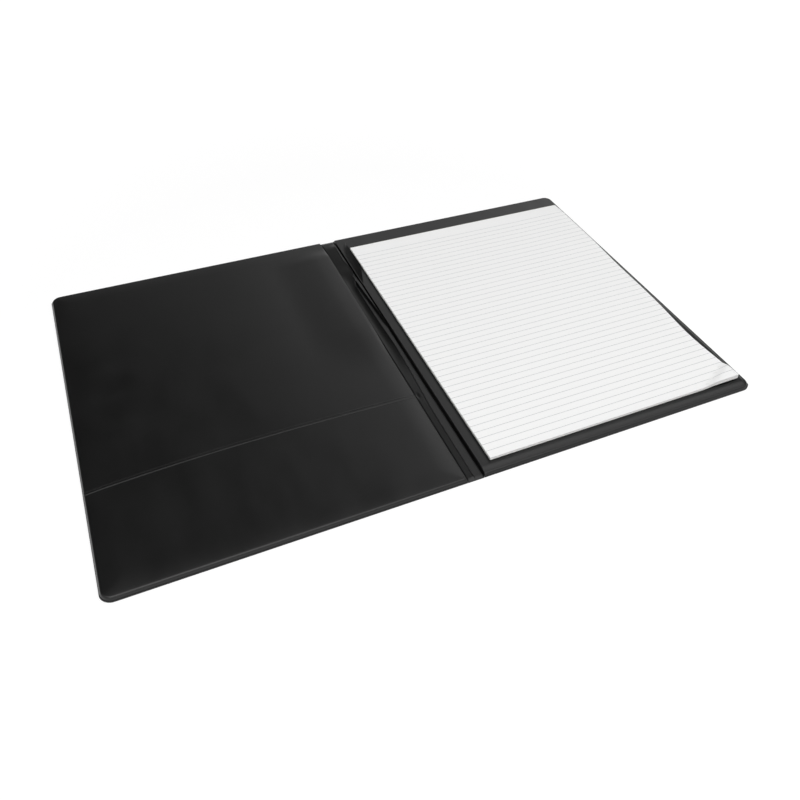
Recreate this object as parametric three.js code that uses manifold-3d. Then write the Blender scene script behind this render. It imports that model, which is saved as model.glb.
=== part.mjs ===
// A soft-vinyl writing folder, open flat with its inner side up.
// X runs across the open folder (front cover at -X), Y runs to the folder's top, Z is up.
// The origin is on the table, under the middle of the spine. All lengths are in millimetres.
import * as THREE from 'three';
import { mergeVertices } from 'three/addons/utils/BufferGeometryUtils.js';
import Module from 'manifold-3d';

// Writing pad: a standard letter size, which sets the size of the covers
const PAD_WIDTH = 215.9;
const PAD_LENGTH = 279.4;
const PAGES_THICKNESS = 2.4;
const CARD_THICKNESS = 0.6;
const GLUE_THICKNESS = 0.3;
const TOP_SHEETS_THICKNESS = 0.5; // the upper sheets, whose corner curls up off the rest
const CURL_HEIGHT = 2;
const CURL_REACH = 46; // from the corner along each edge

// Covers and spine
const CREASE_MARGIN = 8.6; // from the hinge crease to the pad
const OUTER_MARGIN = 8; // from the pad to the cover's outer edge
const BOTTOM_MARGIN = 9.3; // from the pad to the cover's bottom edge
const HEAD_MARGIN = 24.3; // from the pad to the cover's top edge
const CORNER_RADIUS = 8;
const SPINE_WIDTH = 12; // between the two hinge creases
const CREASE_GAP = 0.3; // free film left between two bodies at a crease

// Films and boards
const SKIN_THICKNESS = 0.4;
const SKIN_PRESS = 0.12; // how much thinner the skin is in the welds, on its outer side
const FILM_THICKNESS = 0.3;
const BOARD_THICKNESS = 1.8;
const LAYER_GAP = 0.1; // between layers that lie loose on each other
const WELD_WIDTH = 2; // flat welded edge round each cover
const WELD_THICKNESS = 0.2; // a film pressed thin by the weld
const WELD_GAP = 0.05; // between films in the weld
const SHOULDER_WIDTH = 2; // where the films climb from the weld onto the board
const BOARD_PLAY = 0.2; // between the board's edge and the shoulder
const BOARD_CORNER_RADIUS = 8;

// Spine lining
const SPINE_PILLOW = 0.45; // how far the lining bulges between the creases
const SPINE_RIDGE_HEIGHT = 0.25;
const SPINE_RIDGE_WIDTH = 0.8;
const SPINE_WELD_WIDTH = 1.2;

// Front pockets
const LOW_POCKET_HEIGHT = 93; // from the cover's bottom edge to the ends of the hem
const HEM_WIDTH = 4; // the film is doubled this far down from its open edge
const HEM_BOW = 4.5; // the hem stands this much higher at its middle
const LOW_POCKET_SIDE = 0.8; // from the crease to the lower pocket's edge
const TALL_POCKET_SIDE = 2.2; // from the crease to the tall pocket's free edge
const MOUTH_LIFT = 2.4; // how far the tall pocket's free edge stands off the lining
const MOUTH_DEPTH = 24; // how far in from the free edge the lift fades out
const MOUTH_RAMP = 36; // along the free edge, from the hem and from the top weld

// Back pocket: a slit that the pad's card goes through, with a gaping end beside the spine
const SLIT_BELOW_HEAD = 28; // from the pad's head
const SLIT_WIDTH = 2.6;
const SLIT_PAST_CARD = 1.6; // how far the slit runs past the card's outer edge
const CARD_SKIRT = 3; // where the film comes down beside the card
const CARD_PLAY = 0.3; // between the card's edge and the start of the skirt
const GAPE_INNER = 2.4; // from the crease to the gaping end
const GAPE_RISE = 34; // height of the gaping end along the spine
const GAPE_SLANT = 17; // how far it slants down towards the spine

// Worked out from the sizes above
const coverWidth = CREASE_MARGIN + PAD_WIDTH + OUTER_MARGIN; // from the hinge crease to the outer edge
const coverHeight = BOTTOM_MARGIN + PAD_LENGTH + HEAD_MARGIN;
const halfSpine = SPINE_WIDTH / 2;
const halfHeight = coverHeight / 2;
const creaseSide = CREASE_GAP / 2;
const boardFloor = SKIN_THICKNESS + LAYER_GAP;
const boardInset = WELD_WIDTH + SHOULDER_WIDTH + BOARD_PLAY;
const padLeft = CREASE_MARGIN; // measured from the crease, as all u values are
const padRight = padLeft + PAD_WIDTH;
const padBottom = BOTTOM_MARGIN - halfHeight;
const padTop = padBottom + PAD_LENGTH;
const cardFloor = filmLevel(2);
const cardTop = cardFloor + CARD_THICKNESS;
const pagesFloor = cardTop + FILM_THICKNESS + 2 * LAYER_GAP;
const slitY = padTop - SLIT_BELOW_HEAD;
const hemEnd = LOW_POCKET_HEIGHT - halfHeight;

const wasm = await Module();
wasm.setup();

// The underside of film number `layer` where it lies flat on the board
function filmLevel(layer) {
  return boardFloor + BOARD_THICKNESS + LAYER_GAP + layer * (FILM_THICKNESS + LAYER_GAP);
}

// The underside of film number `layer` in the welded edge
function weldLevel(layer) {
  return SKIN_THICKNESS + WELD_GAP + layer * (WELD_THICKNESS + WELD_GAP);
}

// 0 at and below 0, 1 at and above 1, and smooth between
function smooth(t) {
  const k = Math.min(Math.max(t, 0), 1);
  return k * k * (3 - 2 * k);
}

function mix(a, b, t) {
  return a + (b - a) * t;
}

// Distance from a point of a cover to the nearest edge; u is measured from the crease, v from the middle
function inset(u, v) {
  const cornerU = u - (coverWidth - CORNER_RADIUS);
  const cornerV = Math.abs(v) - (halfHeight - CORNER_RADIUS);
  const outer =
    cornerU > 0 && cornerV > 0
      ? CORNER_RADIUS - Math.hypot(cornerU, cornerV)
      : Math.min(coverWidth - u, halfHeight - Math.abs(v));
  return Math.min(outer, u - creaseSide);
}

// How far the films have climbed from the weld, 0, onto the board, 1
function climb(u, v) {
  return smooth((inset(u, v) - WELD_WIDTH) / SHOULDER_WIDTH);
}

function lyingFilm(layer) {
  return {
    floor: (u, v) => mix(weldLevel(layer), filmLevel(layer), climb(u, v)),
    thickness: (u, v) => mix(WELD_THICKNESS, FILM_THICKNESS, climb(u, v)),
  };
}

// Height above the middle of the line that runs `step` inside the cover's edge, at a distance u from the
// crease. Where u is past the line's own corner, it stays just below the corner's centre.
function lineAt(u, step) {
  const past = Math.max(u - (coverWidth - CORNER_RADIUS), 0);
  const radius = CORNER_RADIUS - step;
  const rise = Math.sqrt(Math.max(radius ** 2 - past ** 2, 0));
  return halfHeight - CORNER_RADIUS + (rise > 0 || step === 0 ? rise : -CORNER_ROW_STEP * step);
}

function evenly(from, to, steps) {
  return Array.from({ length: steps + 1 }, (_, i) => mix(from, to, i / steps));
}

// All values in rising order, without those that nearly repeat the one before
function sorted(...lists) {
  const kept = [];
  for (const value of lists.flat().sort((a, b) => a - b)) {
    if (kept.length === 0 || value - kept.at(-1) > LINE_SPACING) kept.push(value);
  }
  return kept;
}

const CORNER_ROW_STEP = 0.2; // keeps the grid's rows apart past a corner
const LINE_SPACING = 0.25; // the least distance between two of the grid's lines

// Steps from an edge inwards: over the weld and up the shoulder
const shoulderSteps = [0, ...evenly(WELD_WIDTH, WELD_WIDTH + SHOULDER_WIDTH, 4)];
const cornerSteps = [10, 22, 35, 50, 66, 80].map(
  (degrees) => CORNER_RADIUS * (1 - Math.sin(THREE.MathUtils.degToRad(degrees))),
);

// Columns across a cover, from its crease to its outer edge
function columns(start, inner) {
  const creaseEnd = shoulderSteps.map((step) => creaseSide + step).filter((u) => u > start);
  const outerEnd = [...shoulderSteps, ...cornerSteps, CORNER_RADIUS].map((step) => coverWidth - step);
  return sorted([start], creaseEnd, inner, outerEnd);
}

// Rows up a cover: they keep their distance from the top and bottom edges, round the corners too, and the
// middle ones stay between them
function rows(middle) {
  return (u) => {
    const limit = lineAt(u, WELD_WIDTH + SHOULDER_WIDTH);
    const between = middle.map((v, k) => {
      const low = -limit + CORNER_ROW_STEP * (k + 1);
      const high = limit - CORNER_ROW_STEP * (middle.length - k);
      return Math.min(Math.max(v, low), high);
    });
    const edges = shoulderSteps.map((step) => lineAt(u, step));
    return [...edges.map((v) => -v), ...between, ...edges.reverse()];
  };
}

// A closed solid between a lower and an upper surface, over a grid of columns and rows.
// side is 1 on the back cover and -1 on the front cover.
function formedSheet(side, us, rowsAt, floor, thickness) {
  const positions = [];
  const grid = us.map((u) => rowsAt(u));
  const nu = us.length;
  const nv = grid[0].length;
  for (const above of [0, 1]) {
    for (let i = 0; i < nu; i++) {
      for (const v of grid[i]) {
        const z = floor(us[i], v) + above * thickness(us[i], v);
        positions.push(side * (halfSpine + us[i]), v, z);
      }
    }
  }
  const low = (i, j) => i * nv + j;
  const top = (i, j) => nu * nv + low(i, j);
  const triangles = [];
  const quad = (a, b, c, d) => {
    triangles.push(...(side > 0 ? [a, b, c, a, c, d] : [a, c, b, a, d, c]));
  };
  for (let i = 0; i < nu - 1; i++) {
    for (let j = 0; j < nv - 1; j++) {
      quad(top(i, j), top(i + 1, j), top(i + 1, j + 1), top(i, j + 1));
      quad(low(i, j), low(i, j + 1), low(i + 1, j + 1), low(i + 1, j));
    }
    quad(low(i, 0), low(i + 1, 0), top(i + 1, 0), top(i, 0));
    quad(low(i + 1, nv - 1), low(i, nv - 1), top(i, nv - 1), top(i + 1, nv - 1));
  }
  for (let j = 0; j < nv - 1; j++) {
    quad(low(0, j + 1), low(0, j), top(0, j), top(0, j + 1));
    quad(low(nu - 1, j), low(nu - 1, j + 1), top(nu - 1, j + 1), top(nu - 1, j));
  }
  const geometry = new THREE.BufferGeometry();
  geometry.setAttribute('position', new THREE.Float32BufferAttribute(positions, 3));
  geometry.setIndex(triangles);
  geometry.computeVertexNormals();
  return geometry;
}

// A cover's outline, moved in by `by` on all sides; square at the crease, round at the outer corners
function coverShape(side, by, radius) {
  const inner = halfSpine + creaseSide + by;
  const outer = halfSpine + coverWidth - by;
  const half = halfHeight - by;
  const shape = new THREE.Shape();
  const turn = Math.PI / 2;
  shape.moveTo(side * inner, -half);
  shape.lineTo(side * (outer - radius), -half);
  if (side > 0) {
    shape.absarc(outer - radius, -half + radius, radius, -turn, 0);
    shape.absarc(outer - radius, half - radius, radius, 0, turn);
  } else {
    shape.absarc(-outer + radius, -half + radius, radius, -turn, -2 * turn, true);
    shape.absarc(-outer + radius, half - radius, radius, 2 * turn, turn, true);
  }
  shape.lineTo(side * inner, half);
  shape.closePath();
  return shape;
}

function extruded(shape, depth) {
  return new THREE.ExtrudeGeometry(shape, { depth, bevelEnabled: false, curveSegments: 7 });
}

function toSolid(geometry) {
  const bare = geometry.clone();
  bare.deleteAttribute('normal');
  bare.deleteAttribute('uv');
  const merged = mergeVertices(bare, 1e-4);
  return new wasm.Manifold(
    new wasm.Mesh({
      numProp: 3,
      vertProperties: new Float32Array(merged.attributes.position.array),
      triVerts: new Uint32Array(merged.index.array),
    }),
  );
}

function toGeometry(solid) {
  const mesh = solid.getMesh();
  const geometry = new THREE.BufferGeometry();
  geometry.setAttribute('position', new THREE.Float32BufferAttribute(mesh.vertProperties, 3));
  geometry.setIndex(Array.from(mesh.triVerts));
  geometry.computeVertexNormals();
  return geometry;
}

const vinyl = { color: 0x1b1b1c, roughness: 0.42, metalness: 0 };
const board = { color: 0x8c8a84, roughness: 0.9, metalness: 0 };
const paper = { color: 0xf4f4f2, roughness: 0.85, metalness: 0 };
const card = { color: 0x8a8780, roughness: 0.9, metalness: 0 };
const glue = { color: 0xe9e7df, roughness: 0.6, metalness: 0 };

function piece(name, geometry, material) {
  const mesh = new THREE.Mesh(geometry, new THREE.MeshStandardMaterial(material));
  mesh.name = name;
  return mesh;
}

// Outer skin of a cover: flat on the table, and pressed thinner along its welds
function coverSkin(side) {
  const floor = (u, v) => SKIN_PRESS * (1 - climb(u, v));
  const thickness = (u, v) => SKIN_THICKNESS - floor(u, v);
  return formedSheet(side, columns(creaseSide, []), rows([0]), floor, thickness);
}

// Stiffener board, loose between the skin and the lining
function coverBoard(name, side) {
  const shape = coverShape(side, boardInset, BOARD_CORNER_RADIUS);
  const mesh = piece(name, extruded(shape, BOARD_THICKNESS), board);
  mesh.position.z = boardFloor;
  return mesh;
}

// Lining: welded to the skin all round, formed over the board
function coverLining(side) {
  const film = lyingFilm(0);
  const across = columns(creaseSide, [coverWidth / 2]);
  return formedSheet(side, across, rows([0]), film.floor, film.thickness);
}

// Full-height pocket of the front cover: its edge beside the spine is free and stands a little open
function tallPocket() {
  const lying = lyingFilm(1);
  const along = (v) => {
    const fromHem = smooth((v - hemEnd - HEM_BOW) / MOUTH_RAMP);
    const fromTop = smooth((halfHeight - WELD_WIDTH - v) / MOUTH_RAMP);
    return fromHem * fromTop;
  };
  const inward = (u) => 1 - smooth((u - TALL_POCKET_SIDE) / MOUTH_DEPTH);
  const openness = (u, v) => (u < coverWidth / 2 ? along(v) : 0);
  const floor = (u, v) => {
    const loose = filmLevel(1) + MOUTH_LIFT * inward(u) * along(v);
    return mix(lying.floor(u, v), loose, openness(u, v));
  };
  const thickness = (u, v) => mix(lying.thickness(u, v), FILM_THICKNESS, openness(u, v));
  const mouthColumns = evenly(TALL_POCKET_SIDE, TALL_POCKET_SIDE + MOUTH_DEPTH, 8).slice(1);
  const across = columns(TALL_POCKET_SIDE, [...mouthColumns, coverWidth / 2]);
  const rampTop = halfHeight - WELD_WIDTH - SHOULDER_WIDTH;
  const middle = sorted(
    evenly(hemEnd + HEM_BOW, hemEnd + HEM_BOW + MOUTH_RAMP, 5),
    evenly(rampTop - MOUTH_RAMP, rampTop, 6).slice(0, -1),
  );
  return formedSheet(-1, across, rows(middle), floor, thickness);
}

// Lower pocket of the front cover: its open top edge is a doubled hem, a little higher at the middle
function lowPocket() {
  const film = lyingFilm(2);
  const hemAt = (u) => hemEnd + HEM_BOW * (1 - (2 * u / coverWidth - 1) ** 2);
  const doubled = (u, v) => smooth((v - hemAt(u) + HEM_WIDTH + 0.4) / 0.8);
  const thickness = (u, v) => film.thickness(u, v) * (1 + doubled(u, v));
  const across = columns(LOW_POCKET_SIDE, evenly(0, coverWidth, 10).slice(1, -1));
  const rowsAt = (u) => {
    const top = hemAt(u);
    return [
      ...shoulderSteps.map((step) => -lineAt(u, step)),
      ...[HEM_WIDTH + 0.4, HEM_WIDTH, HEM_WIDTH - 0.4, 0].map((step) => top - step),
    ];
  };
  return formedSheet(-1, across, rowsAt, film.floor, thickness);
}

// Film of the back cover: over the card below the slit, under it above the slit
function backPocket() {
  const lying = lyingFilm(1);
  const overCard = cardTop + LAYER_GAP;
  const cardCover = (u, v) => {
    const beside = Math.max(padLeft - u, u - padRight, padBottom - v) - CARD_PLAY;
    return v > slitY ? 0 : 1 - smooth(beside / CARD_SKIRT);
  };
  const floor = (u, v) => mix(lying.floor(u, v), overCard, cardCover(u, v) * climb(u, v));
  const skirtSteps = evenly(CARD_PLAY, CARD_PLAY + CARD_SKIRT, 4);
  const across = columns(creaseSide, [
    ...skirtSteps.map((step) => padLeft - step),
    coverWidth / 2,
    ...skirtSteps.map((step) => padRight + step),
  ]);
  const middle = sorted(
    skirtSteps.map((step) => padBottom - step),
    [slitY - SLIT_WIDTH / 4, slitY + SLIT_WIDTH / 4],
  );
  const sheet = toSolid(formedSheet(1, across, rows(middle), floor, lying.thickness));
  const cutDepth = pagesFloor + 1;
  return toGeometry(sheet.subtract(toSolid(extruded(slitShape(), cutDepth))));
}

// The slit: a straight cut behind the pad that ends in a slanted, gaping mouth beside the spine
function slitShape() {
  const left = halfSpine + GAPE_INNER;
  const right = halfSpine + padLeft - CARD_PLAY;
  const end = halfSpine + padRight + SLIT_PAST_CARD;
  const low = slitY - SLIT_WIDTH / 2;
  const high = slitY + SLIT_WIDTH / 2;
  const shape = new THREE.Shape();
  shape.moveTo(end, low);
  shape.lineTo(end, high);
  shape.lineTo(right, high);
  shape.lineTo(right, high + GAPE_RISE - SLIT_WIDTH);
  shape.quadraticCurveTo(left + 1, high + GAPE_RISE - GAPE_SLANT, left, high + GAPE_RISE - 2 * GAPE_SLANT);
  shape.lineTo(left, low - GAPE_SLANT);
  shape.quadraticCurveTo(left + 1, low - GAPE_SLANT / 4, right, low);
  shape.closePath();
  return shape;
}

// A flat slab on the back cover, as wide as the pad
function padSlab(bottom, top, floor, thickness) {
  return formedSheet(1, [padLeft, padRight], () => [bottom, top], () => floor, () => thickness);
}

// Ruled sheets: one glued block whose upper sheets curl up off the rest at the bottom right corner
function pages() {
  const seam = pagesFloor + PAGES_THICKNESS - TOP_SHEETS_THICKNESS;
  const curl = (u, v) => {
    const reach = Math.hypot(padRight - u, v - padBottom) / CURL_REACH;
    return CURL_HEIGHT * Math.max(1 - reach, 0) ** 2;
  };
  const curlSteps = evenly(0, CURL_REACH, 8);
  const across = sorted([padLeft], curlSteps.map((step) => padRight - step));
  const up = sorted([padTop], curlSteps.map((step) => padBottom + step));
  const floor = (u, v) => seam - WELD_GAP + curl(u, v);
  const block = padSlab(padBottom, padTop, pagesFloor, seam - pagesFloor);
  const topSheets = formedSheet(1, across, () => up, floor, () => TOP_SHEETS_THICKNESS + WELD_GAP);
  return toGeometry(toSolid(block).add(toSolid(topSheets)));
}

// Padding glue along the head of the pad, from the card up to the top sheet
function padGlue() {
  const bottom = padTop + WELD_GAP;
  return padSlab(bottom, bottom + GLUE_THICKNESS, cardFloor, pagesFloor + PAGES_THICKNESS - cardFloor);
}

function spineSkin() {
  const geometry = new THREE.BoxGeometry(SPINE_WIDTH - CREASE_GAP, coverHeight, SKIN_THICKNESS);
  return geometry.translate(0, 0, SKIN_THICKNESS / 2);
}

// Spine lining: welded at both creases, a soft pillow between them with a fine ridge down its middle
function spineLining() {
  const half = halfSpine - creaseSide;
  const rise = (x, v) => {
    const fromEdge = Math.min(half - Math.abs(x), halfHeight - Math.abs(v));
    return smooth((fromEdge - SPINE_WELD_WIDTH) / SHOULDER_WIDTH);
  };
  const ridge = (x) => SPINE_RIDGE_HEIGHT * Math.max(1 - Math.abs(x) / (SPINE_RIDGE_WIDTH / 2), 0);
  const floor = (u, v) => mix(weldLevel(0), weldLevel(0) + SPINE_PILLOW, rise(u + halfSpine, v));
  const thickness = (u, v) => {
    const x = u + halfSpine;
    return mix(WELD_THICKNESS, FILM_THICKNESS, rise(x, v)) + ridge(x) * rise(x, v);
  };
  const climbing = evenly(SPINE_WELD_WIDTH, SPINE_WELD_WIDTH + SHOULDER_WIDTH, 3);
  const halfColumns = [half, ...climbing.map((step) => half - step), SPINE_RIDGE_WIDTH / 2];
  const across = sorted(halfColumns, halfColumns.map((x) => -x), [0]).map((x) => x - halfSpine);
  const ends = [0, ...climbing].map((step) => halfHeight - step);
  const up = sorted(ends, ends.map((v) => -v));
  return formedSheet(1, across, () => up, floor, thickness);
}

const backCover = new THREE.Group();
backCover.add(piece('back_skin', coverSkin(1), vinyl));
backCover.add(coverBoard('back_board', 1));
backCover.add(piece('back_lining', coverLining(1), vinyl));
backCover.add(piece('back_pocket', backPocket(), vinyl));
backCover.add(piece('pad_card', padSlab(padBottom, padTop, cardFloor, CARD_THICKNESS), card));
backCover.add(piece('pad_pages', pages(), paper));
backCover.add(piece('pad_glue', padGlue(), glue));

const spine = new THREE.Group();
spine.add(piece('spine_skin', spineSkin(), vinyl));
spine.add(piece('spine_lining', spineLining(), vinyl));

const frontCover = new THREE.Group();
frontCover.add(piece('front_skin', coverSkin(-1), vinyl));
frontCover.add(coverBoard('front_board', -1));
frontCover.add(piece('front_lining', coverLining(-1), vinyl));
frontCover.add(piece('front_tall_pocket', tallPocket(), vinyl));
frontCover.add(piece('front_low_pocket', lowPocket(), vinyl));

const group = new THREE.Group();
group.add(backCover, spine, frontCover);

export default group;
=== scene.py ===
"""A soft-vinyl writing folder, open flat with its inner side up, with a ruled pad in its back cover.

Lengths in this script are in millimetres in the frame of the CAD model: x runs across the open folder,
y to its top and z up, with the origin under the middle of the spine. Meshes are written in metres.
"""

import bmesh
import bpy
import numpy as np
from mathutils import Matrix, Vector


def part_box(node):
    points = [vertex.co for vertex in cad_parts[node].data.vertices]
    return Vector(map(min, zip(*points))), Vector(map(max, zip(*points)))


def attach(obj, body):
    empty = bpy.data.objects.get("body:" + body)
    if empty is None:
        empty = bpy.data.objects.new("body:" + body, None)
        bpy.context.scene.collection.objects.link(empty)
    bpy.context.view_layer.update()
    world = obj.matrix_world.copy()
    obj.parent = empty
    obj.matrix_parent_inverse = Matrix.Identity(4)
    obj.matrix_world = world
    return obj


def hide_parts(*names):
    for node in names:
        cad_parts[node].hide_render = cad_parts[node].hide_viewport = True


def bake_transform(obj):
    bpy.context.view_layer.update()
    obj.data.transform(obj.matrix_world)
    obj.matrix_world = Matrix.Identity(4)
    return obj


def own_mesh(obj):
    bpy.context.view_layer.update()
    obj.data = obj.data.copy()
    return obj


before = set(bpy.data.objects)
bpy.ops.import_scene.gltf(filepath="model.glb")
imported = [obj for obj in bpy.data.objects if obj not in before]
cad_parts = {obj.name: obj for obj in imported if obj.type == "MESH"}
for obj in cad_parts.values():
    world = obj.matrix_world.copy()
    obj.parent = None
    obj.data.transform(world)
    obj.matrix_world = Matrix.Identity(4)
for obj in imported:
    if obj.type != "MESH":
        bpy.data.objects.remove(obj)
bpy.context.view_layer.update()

MM = 0.001

# Films and welds
CREASE_SIDE = 0.15
CORNER_RADIUS = 8
SKIN_THICKNESS = 0.4
SKIN_PRESS = 0.12  # how much the skin is pressed in from below at the weld
FILM_THICKNESS = 0.3
LAYER_GAP = 0.1
WELD_WIDTH = 0.4  # the flat flange that shows round each cover
WELD_THICKNESS = 0.2
WELD_GAP = 0.05
SHOULDER_WIDTH = 1.7  # across which the films climb from the weld onto the board
SHOULDER_POWER = 2.2  # how soon they have climbed

# Spacing of the meshes
SHOULDER_STEPS = (0, 0.14, 0.28, 0.42, 0.56, 0.7, 0.82, 0.92, 1)
CORNER_ANGLES = range(8, 86, 6)
LEAST_SPACING = 0.2
FREE_EDGE_STEP = 0.25
COVER_SPACING = 6
COVER_ROWS = 50
POCKET_SPACING = 1.8
TALL_POCKET_ROWS = 170
LOW_POCKET_ROWS = 56
ROW_PLAY = 0.02  # least distance of the back film's rows where the round corner cuts them short
SHEET_COLUMNS = 60
SHEET_ROWS = 70
TOP_SHEET_COLUMNS = 100
TOP_SHEET_ROWS = 110

# Front pockets
HEM_WIDTH = 3
HEM_TOP = -64.3  # the hem's highest point, and where it lies
HEM_TOP_U = 105
HEM_FALL_SPINE = 2.4  # how far the hem falls to either end
HEM_FALL_EDGE = 5.5
HEM_DOUBLING = 0.6  # how much thicker than the film the hem is
HEM_STEP = 0.4
HEM_RIDGE = 0.12  # height of the beads along the hem's edges
HEM_BEAD_INSET = 0.7
HEM_BEAD_WIDTH = 0.5
HEM_LOWER_BEAD = 0.8  # the lower bead's height as a share of the upper one's
LOW_POCKET_SIDE = 0.8  # from the crease to the film's edge
TALL_POCKET_SIDE = 1.1
MOUTH_LIFT = 2.6  # how far the tall pocket's free edge stands open
MOUTH_DEPTH = 54
MOUTH_RAMP_HEM = 90
MOUTH_RAMP_TOP = 30
MOUTH_ROLL = 0.35  # how far the free edge curls back down
MOUTH_ROLL_REACH = 2.2
CREASE_DIP = 0.3  # where the films dip to the crease, and across what width
CREASE_DIP_WIDTH = 1.2
CREASE_ZONE = 6
CROWN_HEIGHT = 0.75  # how full the pockets are, and how far from the edge that is reached
CROWN_REACH = 16
DENTS_HEIGHT = 0.28
DENTS_INSET = 30
DENTS_REACH_U = 15
DENTS_V = 3
DENTS_REACH_V = 40
SWELL_HEIGHT = 0.08
SWELL_RAMP = 40

# Spine lining: a ridge along its middle, and a bulge of film beside the upper part of the back cover
SPINE_FULLNESS = 0.45
SPINE_END = 0.5  # flat at the ends, and the slope up from there
SPINE_END_RAMP = 1.6
SPINE_SIDE = 0.1
SPINE_SIDE_RAMP = 0.6
SPINE_RIDGE_LOW = 0.4  # height in the lower part, in the upper part, and beside the back film's flap
SPINE_RIDGE_HIGH = 1.6
SPINE_FLAP_HIGH = 2.0
UPPER_FROM = -50
UPPER_RAMP = 46
BESIDE_FLAP_FROM = 80
BESIDE_FLAP_RAMP = 26
RIDGE_BEAD = 0.15
RIDGE_BEAD_WIDTH = 0.3
RIDGE_DROP = 0.75  # share of the ridge's height that is lost on its side towards the back cover
RIDGE_DROP_WIDTH = 0.7
RIDGE_END = 2
RIDGE_END_RAMP = 12
SPINE_RIDGE_Y = (-156, -85, -40, -7, 27, 58, 78, 100, 111, 120, 150)
SPINE_RIDGE_X = (-1.0, -0.6, 1.4, 2.0, 1.0, 0.6, 0.6, 5.0, 5.0, 3.6, 4.2)
SPINE_GROOVE_Y = (-2, 24, 53, 76, 90)
SPINE_GROOVE_X = (5.9, 4.8, 3.4, 2.2, 2.2)
BULGE_HEIGHT = 2.8
BULGE_FROM = 0
BULGE_FROM_RAMP = 25
BULGE_TO = 98
BULGE_TO_RAMP = 20
BULGE_SLOPE = 0.9  # width of the bulge's slope at the groove, and at the crease
BULGE_SLOPE_CREASE = 0.25
NOTCH = 0.4  # a small pit beside the hem's end
NOTCH_X = -4.2
NOTCH_ACROSS = 1.3
NOTCH_ALONG = 2.2

# Webs of film in the creases: name, height of the underside and half the width
WEBS = (("inner", 0.66, 0.55), ("outer", 0.405, 0.75))
WEB_THICKNESS = 0.04
WEB_END = 0.1

# Back pocket
GROOVE_START = 0.1
GROOVE_RISE = 0.8  # how soon the film has climbed out of the groove beside the spine
TENT_POWER = 2.6  # how full the film's slope from the pad's card to the weld is
CARD_PLAY = 0.3
SLIT_BELOW_HEAD = 28
SLIT_PAST_CARD = 1.6
GAPE_INNER = 1.6  # where the slit begins, from the crease
SLIT_CUT = 0.6
SIDE_CUT = 0.35
FLAP_HEIGHT = 38
FLAP_SLANT = 3.6  # how steeply the slit's end and the flap's fold fall towards the spine
FLAP_FADE = 6
SLANT_FROM = 50  # where the mesh's rows begin to slant, and how far below the slit they have the full slant
SLANT_FULL = 5
FLAP_CREST_LIFT = 1.5
FLAP_TIP_LIFT = 2.7

# Pad
RULE_PITCH = 6.3
RULE_COUNT = 42
RULE_FROM_HEAD = 14.6
RULE_WIDTH = 0.32
RULE_CLEAR = 0.3
CURL_HEIGHT = 2
CURL_REACH = 60
CURL_LIFT = 0.5
BENT_ACROSS = 34  # the corner's bend runs from this far across the bottom to this far up the side
BENT_UP = 19
BENT_LIFT = 1.9
BENT_SHARPNESS = 0.4
EDGE_SLIP = 3.0  # how far the lower half's right edge has slipped inwards
EDGE_SLIP_Y = -90
EDGE_SLIP_REACH = 36
EDGE_OUT = 1.2  # how far the upper half's edge stands out instead
EDGE_RISE = 0.6  # and how far it stands up
EDGE_RISE_REACH = 60
UPPER_EDGE_FROM = 10
UPPER_EDGE_RAMP = 60
HEAD_RAMP = 12
SHEET_THICKNESS = 0.1
SHEET_GAP = 0.015
SHEET_IN = 0.12  # how far each sheet's edges lie inside those of the one above
SHEET_UP = 0.08
SHEET_LIFT_LOSS = 0.06  # share of the curl that is lost from sheet to sheet, and from layer to layer below
BLOCK_LIFT_LOSS = 0.03
LOOSE_SHEETS = 5  # the top sheet and those that curl with it
BLOCK_LAYERS = 8
BLOCK_UNEVENNESS = 0.22
BLOCK_GAP = 0.01

# Textures: scale of the noises, depth of the bumps in metres, and the range that a noise mostly stays in
CLOUD_SCALE = 22
SHEEN_SCALE = 60
PORE_SCALE = 2600
PORE_DEPTH = 0.00005
WAVE_SCALE = 24
WAVE_DEPTH = 0.0008
FIBRE_SCALE = 900
FIBRE_DEPTH = 0.00003
NOISE_LOW = 0.3
NOISE_HIGH = 0.7

# Colours and roughness of the films, from the darkest to the lightest place
FILM_DARK = (0.0014, 0.0014, 0.0014)
FILM_LIGHT = (0.0026, 0.0026, 0.0026)
FILM_ROUGHNESS = (0.31, 0.37)
OUTER_DARK = (0.0030, 0.0030, 0.0030)
OUTER_LIGHT = (0.0050, 0.0050, 0.0050)
OUTER_ROUGHNESS = (0.38, 0.46)

# Studio: lengths in metres
FLOOR_RADIUS = 9
FLOOR_DROP = 0.0001
FLOOR_COLOUR = (0.8, 0.8, 0.8, 1)  # as other surfaces see it
SEEN_FLOOR_COLOUR = (0.3, 0.3, 0.3, 1)  # as the camera sees it, under the glow
GLOW_NEAR = 0.3
GLOW_FAR = 1.6
GLOW_LEAST = 0.722
HORIZON_LOW = 0.10
HORIZON_HIGH = 0.30
DIM_SKY = (0.03, 0.03, 0.03, 1)
WHITE = (1, 1, 1, 1)

# The photo's camera: pixels of the 800 x 800 frame, degrees and millimetres
IMAGE_SIZE = 800
FOCAL_LENGTH = 784.14
OPTICAL_CENTRE = (453.05, 384.29)
CAMERA_AZIMUTH = -27.46
CAMERA_ELEVATION = 42.35
CAMERA_ROLL = 3.33
CAMERA_PLACE = (-176.59, -454.22, 400.86)
SENSOR_WIDTH = 36


def mm_box(node):
    """Low and high corner of a CAD node's box."""
    low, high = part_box(node)
    return np.array(low) / MM, np.array(high) / MM


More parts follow.
